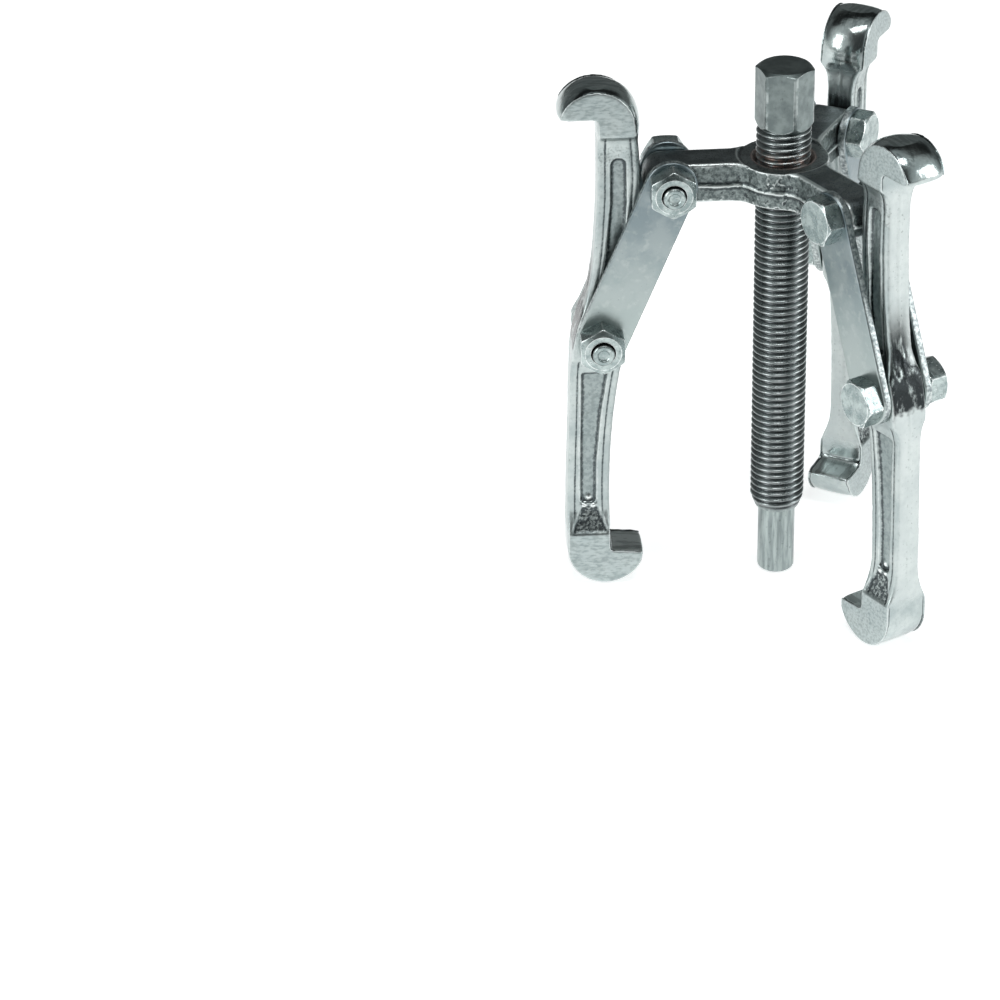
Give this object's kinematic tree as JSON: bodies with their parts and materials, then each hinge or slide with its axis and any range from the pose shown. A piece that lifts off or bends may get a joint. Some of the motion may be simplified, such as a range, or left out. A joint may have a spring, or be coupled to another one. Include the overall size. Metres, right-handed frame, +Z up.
{
  "type": "gear puller",
  "caption": "Three-jaw reversible gear puller: forged yoke, threaded forcing screw with a hexagon head, and hooked jaws hung from the yoke on paired straps.",
  "frame": {"origin": "centre of the forcing screw's lower end face, with the puller at rest", "axes": "+Z up along the forcing screw towards its hexagon; jaw 1 lies along -X, and jaws 2 and 3 follow anticlockwise seen from above"},
  "size_m": [0.136, 0.1508, 0.2051],
  "materials": {
    "forged_jaw": "bright zinc plate over a drop-forged surface",
    "forged_yoke": "dull zinc plate over a drop-forged surface",
    "strap_steel": "bright zinc plate over rolled bar",
    "screw_steel": "plated thread with a light film of oil",
    "fastener_zinc": "bright zinc plate",
    "ball_steel": "hardened and polished"
  },
  "bodies": {
    "yoke": {"yoke": "forged_yoke", "upper_bolt_1": "fastener_zinc", "upper_nut_1": "fastener_zinc", "upper_bolt_2": "fastener_zinc", "upper_nut_2": "fastener_zinc", "upper_bolt_3": "fastener_zinc", "upper_nut_3": "fastener_zinc"},
    "link_1": {"strap_1_nut_side": "strap_steel", "strap_1_head_side": "strap_steel", "lower_bolt_1": "fastener_zinc", "lower_nut_1": "fastener_zinc"},
    "jaw_1": {"jaw_1": "forged_jaw"},
    "link_2": {"strap_2_nut_side": "strap_steel", "strap_2_head_side": "strap_steel", "lower_bolt_2": "fastener_zinc", "lower_nut_2": "fastener_zinc"},
    "jaw_2": {"jaw_2": "forged_jaw"},
    "link_3": {"strap_3_nut_side": "strap_steel", "strap_3_head_side": "strap_steel", "lower_bolt_3": "fastener_zinc", "lower_nut_3": "fastener_zinc"},
    "jaw_3": {"jaw_3": "forged_jaw"},
    "thrust_ball": {"thrust_ball": "ball_steel"},
    "forcing_screw": {"forcing_screw": "screw_steel"}
  },
  "joints": [
    {"name": "link_1_swing", "type": "hinge", "parent": "yoke", "child": "link_1", "pos_m": [-0.0412, 0, 0.1632], "axis": [0, 1, 0], "range_deg": [-12, 50]},
    {"name": "jaw_1_tilt", "type": "hinge", "parent": "link_1", "child": "jaw_1", "pos_m": [-0.0666, 0, 0.1019], "axis": [0, -1, 0], "range_deg": [0, 24]},
    {"name": "link_2_swing", "type": "hinge", "parent": "yoke", "child": "link_2", "pos_m": [0.0206, -0.03568, 0.1632], "axis": [-0.866, -0.5, 0], "range_deg": [-12, 50]},
    {"name": "jaw_2_tilt", "type": "hinge", "parent": "link_2", "child": "jaw_2", "pos_m": [0.0333, -0.05768, 0.1019], "axis": [0.866, 0.5, 0], "range_deg": [0, 24]},
    {"name": "link_3_swing", "type": "hinge", "parent": "yoke", "child": "link_3", "pos_m": [0.0206, 0.03568, 0.1632], "axis": [0.866, -0.5, 0], "range_deg": [-12, 50]},
    {"name": "jaw_3_tilt", "type": "hinge", "parent": "link_3", "child": "jaw_3", "pos_m": [0.0333, 0.05768, 0.1019], "axis": [-0.866, 0.5, 0], "range_deg": [0, 24]},
    {"name": "screw_feed", "type": "slide", "parent": "yoke", "child": "thrust_ball", "axis": [0, 0, 1], "range_m": [-0.01, 0.115]},
    {"name": "screw_turn", "type": "hinge", "parent": "thrust_ball", "child": "forcing_screw", "pos_m": [0, 0, 0], "axis": [0, 0, 1], "range_deg": [-1450, 16570]}
  ],
  "couplings": [
    {"joint": "screw_turn", "follows": "screw_feed", "rad_per_m": 2513.3}
  ]
}
